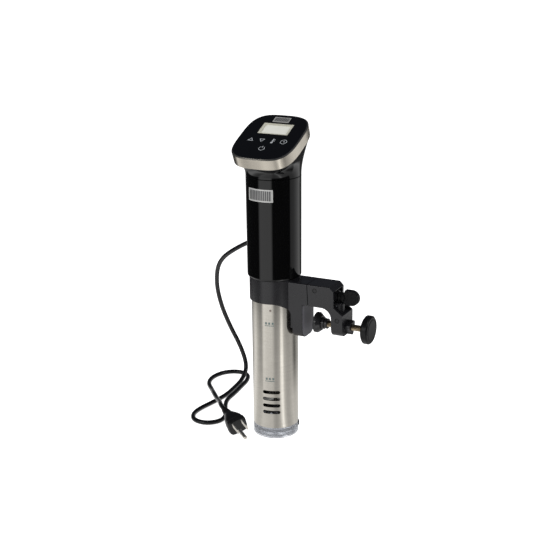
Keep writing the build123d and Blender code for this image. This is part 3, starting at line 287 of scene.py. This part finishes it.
def framed_plate(name, color, field, u, v, low, high, border, bars):
    """A satin plate: a raised light border round a darker field crossed by fine even bars.

    u and v name the two axes across the plate, low and high its corners on them in metres.
    """
    s = Surface(name, color, 0.34, Metallic=0.25)
    split = s.node("ShaderNodeSeparateXYZ")
    s.link(s.place(), split.inputs[0])
    inside = None
    for axis, start, end in ((u, low[0], high[0]), (v, low[1], high[1])):
        off = s.node("ShaderNodeMath", operation="SUBTRACT")
        off.inputs[1].default_value = (start + end) / 2
        away = s.node("ShaderNodeMath", operation="ABSOLUTE")
        s.link(split.outputs[axis], off.inputs[0])
        s.link(off.outputs[0], away.inputs[0])
        reach = (end - start) / 2 - border
        near = s.spread(away.outputs[0], 1, 0, reach - 0.0001, reach + 0.0001)
        if inside is None:
            inside = near
        else:
            both = s.node("ShaderNodeMath", operation="MULTIPLY")
            s.link(inside, both.inputs[0])
            s.link(near, both.inputs[1])
            inside = both.outputs[0]
    wave = s.node("ShaderNodeTexWave", wave_type="BANDS", bands_direction=u)
    wave.inputs["Scale"].default_value = bars
    wave.inputs["Distortion"].default_value = 0.0
    s.link(s.place(), wave.inputs["Vector"])
    sunk = s.node("ShaderNodeMath", operation="MULTIPLY")
    s.link(inside, sunk.inputs[0])
    s.link(s.spread(wave.outputs["Fac"], 0.45, 1.0, 0.35, 0.65), sunk.inputs[1])
    s.shade(sunk.outputs[0], color, field, 0.0, 1.0)
    s.rough(s.noise(s.place(), 300.0, 3.0), 0.28, 0.42)
    s.bump(s.spread(sunk.outputs[0], 1, 0, 0, 1), 0.00012, 0.8)
    return s.mat


def display(name, color):
    """An unlit liquid-crystal window: a faint cell grid under a satin film."""
    s = Surface(name, color, 0.32, Coat_Weight=0.4, Coat_Roughness=0.12)
    wave = s.node("ShaderNodeTexWave", wave_type="BANDS", bands_direction="X")
    wave.inputs["Scale"].default_value = 420.0
    s.link(s.place(), wave.inputs["Vector"])
    slow = s.noise(s.place(), 30.0, 2.0)
    both = s.node("ShaderNodeMath", operation="MULTIPLY_ADD")
    both.inputs[1].default_value = 0.16
    s.link(wave.outputs["Fac"], both.inputs[0])
    s.link(slow, both.inputs[2])
    s.shade(both.outputs[0], tint(color, 0.93), tint(color, 1.03), 0.3, 0.8)
    s.rough(slow, 0.26, 0.38)
    return s.mat


def board(name, color):
    """Solder-masked board: darker traces run under the mask."""
    s = Surface(name, color, 0.38, Coat_Weight=0.3)
    cells = s.node("ShaderNodeTexBrick")
    cells.inputs["Scale"].default_value = 260.0
    cells.inputs["Color1"].default_value = (*tint(color, 1.35), 1)
    cells.inputs["Color2"].default_value = (*color, 1)
    cells.inputs["Mortar"].default_value = (*tint(color, 0.55), 1)
    s.link(s.place(), cells.inputs["Vector"])
    s.link(cells.outputs["Color"], s.bsdf.inputs["Base Color"])
    s.rough(s.noise(s.place(), 90.0), 0.3, 0.45)
    s.bump(cells.outputs["Fac"], 0.00003, 0.4)
    return s.mat


PANEL_TILT = 23.6  # degrees the display head leans forward
BLACK = (0.0011, 0.0011, 0.0012)
SATIN = (0.0100, 0.0097, 0.0112)

materials = {
    "skirt_steel": brushed_round("skirt steel", (0.66, 0.628, 0.565), 0.20),
    # far darker than the tube's own steel: painted shade on the steel inside the tube
    "inner_steel": metal("drawn steel painted dark", (0.14, 0.135, 0.13), 0.28, (1, 1, 0.04)),
    "zinc_steel": metal("zinc plate", (0.66, 0.67, 0.69), 0.25),
    "satin_aluminium": metal("turned aluminium", (0.70, 0.70, 0.71), 0.33, (1, 1, 0.2)),
    "motor_metal": metal("plated can", (0.52, 0.53, 0.54), 0.35),
    "bush_bronze": metal("sintered bronze", (0.50, 0.34, 0.17), 0.48, contrast=0.2),
    "rod_metal": metal("nickel brass thread", (0.50, 0.41, 0.28), 0.30, (0.1, 1, 1), 1400,
                       contrast=0.22),
    "blade_metal": metal("plated blade", (0.80, 0.76, 0.68), 0.38, (1, 1, 0.2)),
    "gloss_black": polished("polished black", BLACK, 0.03),
    "satin_black": moulded("satin black", SATIN, 0.27, sheen=0.06),
    "pin_black": moulded("pin black", (0.007, 0.007, 0.0078), 0.36),
    "cap_black": moulded("turned cap black", (0.007, 0.007, 0.0078), 0.34,
                          Specular_IOR_Level=0.22),
    "grey_plastic": moulded("grey moulding", (0.11, 0.11, 0.115), 0.45),
    "clear_plastic": clear_plastic("clear moulding", (0.66, 0.68, 0.72), 0.07),
    "rubber_black": rubber("matt rubber", (0.008, 0.008, 0.0085)),
    # grey of the rubber pad, raised further to brighten the jaw face turned to the right: partly
    # the pad's own tone and partly painted light
    "pad_rubber": rubber("pad rubber with painted light", (0.070, 0.068, 0.078), 0.42),
    "cord_black": rubber("cord sheath", (0.004, 0.0041, 0.0047), 0.25, 0.00002, 900, 0.5),
    "plug_black": rubber("plug moulding", (0.005, 0.005, 0.0054), 0.38, 0.00004, 1500, 0.45),
    "bezel_metal": metal("champagne bezel", (0.66, 0.61, 0.525), 0.24, (0.05, 0.05, 1.0),
                         2400, 0.000003, 0.06, 0.04, 0.3, PANEL_TILT),
    "black_glass": polished("black glass", (0.0013, 0.0014, 0.0020), 0.03),
    "lcd_surround": moulded("pale surround", (0.52, 0.51, 0.43), 0.42),
    "lcd_pale": display("pale display", (0.77, 0.77, 0.71)),
    "sensor_film": polished("sensor film", (0.03, 0.03, 0.035), 0.2),
    "icon_white": moulded("printed symbol", (0.40, 0.42, 0.44), 0.5),
    "badge_silver": metal("satin plate", (0.62, 0.63, 0.64), 0.30, (0.05, 0.05, 1.0), 1500),
    "mark_ink": moulded("printed line", (0.095, 0.13, 0.127), 0.5),
    "board_green": board("solder mask", (0.02, 0.075, 0.035)),
    "component_black": moulded("component case", (0.03, 0.03, 0.032), 0.5),
}
PLATE, FIELD = (0.42, 0.42, 0.41), (0.045, 0.045, 0.048)


def plate_material(node, v, border, bars):
    """The framed plate of a badge, laid out on the badge's own box."""
    low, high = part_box(node)
    up = "XYZ".index(v)
    return framed_plate(node + " plate", PLATE, FIELD, "X", v, (low.x, low[up]),
                        (high.x, high[up]), border, bars)


slot_of = {part["node"]: part["material_slot"] for part in frame["record"]["subparts"]}
for name, obj in nodes.items():
    finish = materials[slot_of[name]]
    if not obj.material_slots:
        obj.data.materials.append(finish)
    for holder in obj.material_slots:
        holder.material = finish

own_finish = {
    "wing_knob": ribbed_grip("wing grip", (0.005, 0.005, 0.0055), 0.42, 0.0017),
    "clamp_knob": moulded("knob black", (0.003, 0.003, 0.0034), 0.34, Specular_IOR_Level=0.30),
    # a dark copy of the zinc plate: painted shade that keeps the washer dim
    "wing_washer": metal("washer painted dark", (0.07, 0.07, 0.075), 0.4),
    "pad_face": rubber("pad face rubber", (0.016, 0.016, 0.018), 0.45),
    "skirt_rivet": metal("rivet steel", (0.34, 0.29, 0.26), 0.22),
    "housing_badge": plate_material("housing_badge", "Z", 0.0016, 130.0),
    "panel_badge": plate_material("panel_badge", "Y", 0.0011, 150.0),
}
for name, finish in own_finish.items():
    nodes[name].material_slots[0].material = finish

# ---------------------------------------------------------------- cord

CORD_D = 0.006
CORD_ROUTE_MM = [
    (0, 53, 243), (-2, 76, 241), (-26, 93, 237), (-62, 94, 226),
    (-103, 93, 205), (-136, 104, 180), (-146, 113, 146), (-144, 121, 112),
    (-135, 129, 79), (-121, 136, 46), (-112, 136, 18), (-112, 119, 4),
    (-110, 92, 3), (-108, 66, 3), (-112, 39, 3), (-118, 13, 3),
    (-118, -8, 3), (-107, -25, 3), (-87, -27, 3), (-73, -12, 3),
    (-77, 9, 3), (-90, 29, 3), (-100, 52, 3), (-101, 78, 3),
    (-104, 102, 3), (-106, 123, 3), (-114, 143, 3), (-132, 149, 3),
    (-150, 138, 3), (-157, 115, 3), (-151, 92, 3), (-133, 71, 4.5),
    (-119, 51, 9.8), (-104, 33, 11), (-90, 16, 15.5), (-79.8, -0.8, 19.4),
    (-70.45, -8.04, 17.76),
]


def nurbs(name, points, thickness, material):
    """A round cord along a smooth curve through listed points in millimetres."""
    curve = bpy.data.curves.new(name, "CURVE")
    curve.dimensions = "3D"
    spline = curve.splines.new("NURBS")
    spline.points.add(len(points) - 1)
    for point, place in zip(spline.points, points):
        point.co = (*(c / 1000 for c in place), 1)
    spline.order_u = 3
    spline.use_endpoint_u = True
    spline.resolution_u = 12
    curve.bevel_depth = thickness / 2
    curve.bevel_resolution = 6
    curve.use_fill_caps = True
    curve.materials.append(material)
    obj = bpy.data.objects.new(name, curve)
    scene.collection.objects.link(obj)
    return obj


cord = nurbs("cord", CORD_ROUTE_MM, CORD_D, materials["cord_black"])
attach(cord, "housing")
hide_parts("power_cord")

# ---------------------------------------------------------------- mesh helpers


def finish_mesh(name, bm, material, body, smooth_deg, replaces):
    """Makes a piece of the mesh, on its body and in place of the named CAD nodes."""
    bmesh.ops.recalc_face_normals(bm, faces=bm.faces)
    mesh = bpy.data.meshes.new(name)
    bm.to_mesh(mesh)
    bm.free()
    mesh.materials.append(material)
    mesh.shade_smooth()
    mesh.set_sharp_from_angle(angle=math.radians(smooth_deg))
    obj = bpy.data.objects.new(name, mesh)
    scene.collection.objects.link(obj)
    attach(obj, body)
    for node in replaces:
        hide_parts(node)
    return obj


def skin_rings(bm, rings):
    """Faces between rings of the same number of points, with the end rings filled."""
    rows = [[bm.verts.new(p) for p in ring] for ring in rings]
    for low, high in zip(rows, rows[1:]):
        count = len(low)
        for i in range(count):
            j = (i + 1) % count
            bm.faces.new((low[i], low[j], high[j], high[i]))
    bm.faces.new(rows[0])
    bm.faces.new(list(reversed(rows[-1])))


def lathe(profile, origin, axis, across, steps):
    """Rings of points round an axis for a list of (distance along it, radius)."""
    up = axis.cross(across)
    rings = []
    for along, radius in profile:
        centre = origin + axis * along
        rings.append([
            centre + (across * math.cos(t) + up * math.sin(t)) * radius
            for t in (2 * math.pi * i / steps for i in range(steps))
        ])
    return rings


# ---------------------------------------------------------------- strain relief of the cord


RELIEF_RIBS, RELIEF_STEPS = 5, 48
HOUSING_BACK = 0.0337  # where the boot's flange rests, along +Y
STEM_R, FLANGE_R, FLANGE_EDGE_R = 0.0052, 0.0071, 0.0062
FLANGE_LONG, FLANGE_EDGE = 0.0014, 0.0022
RIB_FIRST, RIB_LAST = 0.003, 0.0012  # from the flange, and back from the tip
RIB_WIDE, RIB_TAPER = 0.0058, 0.0020
# each rib: share of the pitch, then how far its surface drops
RIB_SHAPE = ((0.0, 0.0), (0.55, 0.0001), (0.68, 0.0007), (0.86, 0.0007), (0.97, 0.0002))
BORE_R, TIP_BASE_R, TIP_R = 0.0045, 0.0037, 0.0033


def relief():
    """Tapered boot with soft ribs, from the housing's back to the cord."""
    gland_low, gland_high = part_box("cord_gland")
    start, tip = gland_low.y, gland_high.y
    flange = HOUSING_BACK - start
    profile = [(0.0, BORE_R), (0.0, STEM_R), (flange, STEM_R), (flange, FLANGE_R),
               (flange + FLANGE_LONG, FLANGE_R), (flange + FLANGE_EDGE, FLANGE_EDGE_R)]
    first, last = flange + RIB_FIRST, tip - start - RIB_LAST
    pitch = (last - first) / RELIEF_RIBS
    for i in range(RELIEF_RIBS):
        base = first + pitch * i
        wide = RIB_WIDE - RIB_TAPER * i / RELIEF_RIBS
        for share, drop in RIB_SHAPE:
            profile.append((base + pitch * share, wide - drop))
    profile.append((last, TIP_BASE_R))
    profile.append((tip - start, TIP_R))
    bm = bmesh.new()
    height = (gland_low.z + gland_high.z) / 2
    skin_rings(bm, lathe(profile, Vector((0, start, height)), Vector((0, 1, 0)),
                         Vector((1, 0, 0)), RELIEF_STEPS))
    finish_mesh("cord_relief", bm, materials["rubber_black"], "housing", 50,
                ["cord_gland"])


relief()

# ---------------------------------------------------------------- plug

PLUG_FACE = Vector((-0.036, -0.0347, 0.0116))
PLUG_DIR = Vector((0.783, -0.606, -0.14)).normalized()
PLUG_ACROSS = Vector((0.618, 0.733, 0.286)).normalized()
PLUG_UP = PLUG_DIR.cross(PLUG_ACROSS)
PLUG_STEPS = 64
# millimetres behind the face, half width, half height, and the power of the rounded outline
PLUG_BODY = [
    (0.0, 10.4, 8.8, 4.5), (0.15, 11.2, 9.6, 4.5), (0.8, 11.8, 10.2, 4.4),
    (2.5, 12.4, 10.5, 4.2), (5.0, 12.6, 10.7, 4.0), (7.0, 12.6, 10.7, 3.8),
    (7.5, 12.2, 10.3, 3.7), (8.2, 12.0, 10.1, 3.6), (11.0, 11.9, 10.0, 3.4),
    (14.0, 11.7, 9.9, 3.1), (17.0, 10.9, 9.5, 2.9), (20.0, 10.0, 8.9, 2.6),
    (23.0, 9.0, 8.2, 2.4), (26.0, 7.8, 7.4, 2.2), (29.0, 6.7, 6.5, 2.0),
]
PLUG_END = [(43.5, 3.9, 3.9, 2.0), (44.0, 3.3, 3.3, 2.0)]
TAIL_RIBS, TAIL_START, TAIL_PITCH = 4, 30.2, 3.3
TAIL_R, TAIL_TAPER = 6.1, 0.58
# each tail rib: how far along from its start, then how far its surface drops
TAIL_SHAPE = ((0, 0), (1.7, 0.15), (1.95, 0.8), (2.9, 0.85))


def plug_ring(distance, half_wide, half_high, power):
    """A rounded rectangle of points across the plug, at a distance behind its face."""
    centre = PLUG_FACE - PLUG_DIR * distance
    ring = []
    for i in range(PLUG_STEPS):
        t = 2 * math.pi * i / PLUG_STEPS
        c, s = math.cos(t), math.sin(t)
        x = math.copysign(abs(c) ** (2 / power), c) * half_wide
        z = math.copysign(abs(s) ** (2 / power), s) * half_high
        ring.append(centre + PLUG_ACROSS * x + PLUG_UP * z)
    return ring


def plug():
    """Moulded plug: rounded face, raised edge, narrowing grip, ribbed tail over the cord."""
    stations = list(PLUG_BODY)
    for i in range(TAIL_RIBS):
        base = TAIL_START + TAIL_PITCH * i
        wide = TAIL_R - TAIL_TAPER * i
        stations += [(base + along, wide - drop, wide - drop, 2.0) for along, drop in TAIL_SHAPE]
    stations += PLUG_END
    mm = 0.001
    bm = bmesh.new()
    skin_rings(bm, [plug_ring(d * mm, w * mm, h * mm, p) for d, w, h, p in stations])
    return finish_mesh("plug", bm, materials["plug_black"], "housing", 50,
                       ["plug_body"])


plug_piece = plug()
# kept out of reflections, so the plug leaves no dark spot on the polished tube beside it
for unseen in (plug_piece, cord, nodes["plug_blades"], nodes["ground_pin"]):
    unseen.visible_glossy = False

# ---------------------------------------------------------------- threads


THREAD_STEPS, ROWS_PER_TURN = 40, 6
RUNOUT, END_TAPER = 0.0012, 0.0005


def thread(name, node, pitch, depth, body):
    """A rod along X with a rounded helical thread, as long and as thick as its CAD rod.

    Towards each end the thread runs out and the rod tapers.
    """
    low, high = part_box(node)
    radius = (high.y - low.y) / 2
    y, z = (low.y + high.y) / 2, (low.z + high.z) / 2
    rows = int((high.x - low.x) / pitch * ROWS_PER_TURN)
    bm = bmesh.new()
    rings = []
    for k in range(rows + 1):
        x = low.x + (high.x - low.x) * k / rows
        edge = min(x - low.x, high.x - x)
        ease = min(1.0, edge / RUNOUT)
        ring = []
        for i in range(THREAD_STEPS):
            t = 2 * math.pi * i / THREAD_STEPS
            phase = ((x - low.x) / pitch - t / (2 * math.pi)) % 1.0
            tooth = abs(phase * 2 - 1)
            r = radius - depth * (1 - tooth) * ease - END_TAPER * (1 - ease)
            ring.append(Vector((x, y + r * math.cos(t), z + r * math.sin(t))))
        rings.append(ring)
    skin_rings(bm, rings)
    finish_mesh(name, bm, materials["rod_metal"], body, 80, [node])


thread("clamp_thread", "clamp_screw", 0.00125, 0.00062, "clamp_screw")
thread("wing_thread", "wing_screw", 0.001, 0.0005, "wing_screw")

# ---------------------------------------------------------------- stage and lights

# What the object's gloss sees on the studio floor: lit sweeps and black flags round it.
# Facing angle from -Y towards +X, then the brightness far off, near by and at its foot.
BANDS = [
    (-180, 0.04, 0.38, 0.75), (-174, 0.70, 0.45, 0.75), (-153, 0.70, 0.45, 0.75),
    (-148, 0.20, 0.38, 0.75), (-128, 0.20, 0.25, 0.75), (-123, 0.02, 0.30, 0.80),
    (-104, 0.02, 0.74, 0.97), (-86, 0.02, 1.04, 0.90), (-69, 0.02, 0.64, 0.68),
    (-50, 0.02, 0.40, 0.64), (-41, 0.02, 0.50, 0.68), (-35, 0.80, 0.85, 0.76),
    (-30, 1.00, 0.95, 0.78), (-18, 1.00, 0.80, 0.73), (12, 1.00, 0.72, 0.65),
    (16, 0.70, 0.66, 0.60), (21, 0.02, 0.50, 0.48), (29, 0.02, 0.40, 0.42),
    (42, 0.02, 0.52, 0.54), (51, 0.02, 0.70, 0.80), (56, 0.02, 1.55, 1.35),
    (61, 0.02, 1.50, 1.30), (67, 0.02, 0.70, 0.75), (80, 0.02, 0.52, 0.50),
    (94, 0.02, 0.46, 0.52), (98, 0.40, 0.46, 0.58), (114, 0.46, 0.48, 0.72),
    (124, 0.60, 0.22, 0.68), (133, 0.70, 0.05, 0.67), (157, 0.90, 0.38, 0.68),
    (163, 0.10, 0.38, 0.75), (180, 0.04, 0.38, 0.75),
]
# metres from the axis over which one brightness gives way to the next
FOOT_TO_NEAR, NEAR_TO_FAR = (0.14, 0.28), (0.50, 0.60)


def banded(surface, share, column):
    """A brightness ramp over a full turn."""
    ramp = surface.node("ShaderNodeValToRGB")
    surface.link(share, ramp.inputs["Fac"])
    stops = [((band[0] + 180) / 360, band[column]) for band in BANDS]
    for end, (position, value) in ((0, stops[0]), (1, stops[-1])):
        ramp.color_ramp.elements[end].position = position
        ramp.color_ramp.elements[end].color = (value, value, value, 1)
    for position, value in stops[1:-1]:
        ramp.color_ramp.elements.new(position).color = (value, value, value, 1)
    return ramp.outputs["Color"]


def blended(surface, share, first, second):
    blend = surface.node("ShaderNodeMix", data_type="RGBA")
    surface.link(share, blend.inputs["Factor"])
    surface.link(first, blend.inputs["A"])
    surface.link(second, blend.inputs["B"])
    return blend.outputs["Result"]


def studio_floor():
    """Pale floor; a glossy ray meets the banded sweep instead of the plain floor."""
    s = Surface("pale floor", (0.86, 0.86, 0.86), 0.9, Specular_IOR_Level=0.0,
                Emission_Color=(1, 1, 1, 1), Emission_Strength=0.93)
    s.rough(s.noise(s.place(), 3.0), 0.85, 0.95)
    split = s.node("ShaderNodeSeparateXYZ")
    back = s.node("ShaderNodeMath", operation="MULTIPLY")
    back.inputs[1].default_value = -1.0
    angle = s.node("ShaderNodeMath", operation="ARCTAN2")
    s.link(s.place(), split.inputs[0])
    s.link(split.outputs["Y"], back.inputs[0])
    s.link(split.outputs["X"], angle.inputs[0])
    s.link(back.outputs[0], angle.inputs[1])
    share = s.spread(angle.outputs[0], 0, 1, -math.pi, math.pi)
    reach = s.node("ShaderNodeVectorMath", operation="LENGTH")
    s.link(s.place(), reach.inputs[0])
    distance = reach.outputs["Value"]
    inner = blended(s, s.spread(distance, 0, 1, *FOOT_TO_NEAR), banded(s, share, 3),
                    banded(s, share, 2))
    sweep = blended(s, s.spread(distance, 0, 1, *NEAR_TO_FAR), inner, banded(s, share, 1))
    glow = s.node("ShaderNodeEmission")
    s.link(sweep, glow.inputs["Color"])
    path = s.node("ShaderNodeLightPath")
    choose = s.node("ShaderNodeMixShader")
    s.link(path.outputs["Is Glossy Ray"], choose.inputs["Fac"])
    s.link(s.bsdf.outputs[0], choose.inputs[1])
    s.link(glow.outputs[0], choose.inputs[2])
    s.link(choose.outputs[0], s.tree.nodes["Material Output"].inputs["Surface"])
    return s.mat


FLOOR_HALF = 14.0
floor_mesh = bpy.data.meshes.new("floor")
floor_mesh.from_pydata([(-FLOOR_HALF, -FLOOR_HALF, 0), (FLOOR_HALF, -FLOOR_HALF, 0),
                        (FLOOR_HALF, FLOOR_HALF, 0), (-FLOOR_HALF, FLOOR_HALF, 0)], [],
                       [(0, 1, 2, 3)])
floor_mesh.materials.append(studio_floor())
floor = bpy.data.objects.new("floor", floor_mesh)
scene.collection.objects.link(floor)


def lamp(name, place, target, size, power, shine):
    """A soft panel light, its width and height in metres, that reflections may leave out."""
    data = bpy.data.lights.new(name, "AREA")
    data.shape = "RECTANGLE"
    data.size, data.size_y = size
    data.energy = power
    obj = bpy.data.objects.new(name, data)
    scene.collection.objects.link(obj)
    obj.location = place
    aim = Vector(target) - Vector(place)
    obj.rotation_mode = "QUATERNION"
    obj.rotation_quaternion = aim.to_track_quat("-Z", "Y")
    obj.visible_glossy = shine


lamp("key_light", (-0.9, -1.5, 1.7), (0, 0, 0.2), (1.1, 1.1), 20, shine=False)
lamp("fill_light", (1.7, -0.4, 1.2), (0, 0, 0.2), (1.0, 1.0), 10, shine=False)
lamp("top_light", (0.1, 0.5, 2.1), (0, 0, 0.3), (1.4, 1.4), 5, shine=False)
lamp("front_card", (-0.75, -1.6, 0.75), (0, 0, 0.36), (1.1, 0.35), 5, shine=True)
lamp("side_card", (1.35, 0.12, 1.05), (0, 0, 0.38), (0.6, 0.3), 2.4, shine=True)

# what the camera, glossy rays and all other light meet beyond the floor
SKY_SEEN, SKY_GLOSS, SKY_FILL = (1.0, 1.0, 1.0, 1), (0.045, 0.050, 0.060, 1), (0.3, 0.3, 0.3, 1)


def studio_sky():
    """White to the camera, dark and cool in reflections, dim as a source of light."""
    world = bpy.data.worlds.new("studio")
    world.use_nodes = True
    scene.world = world
    tree = world.node_tree
    path = tree.nodes.new("ShaderNodeLightPath")
    mixes = []
    for ray, met in (("Is Glossy Ray", SKY_GLOSS), ("Is Camera Ray", SKY_SEEN)):
        mix = tree.nodes.new("ShaderNodeMix")
        mix.data_type = "RGBA"
        mix.inputs["B"].default_value = met
        tree.links.new(path.outputs[ray], mix.inputs["Factor"])
        mixes.append(mix)
    lit, seen = mixes
    lit.inputs["A"].default_value = SKY_FILL
    tree.links.new(lit.outputs["Result"], seen.inputs["A"])
    tree.links.new(seen.outputs["Result"], tree.nodes["Background"].inputs["Color"])


studio_sky()
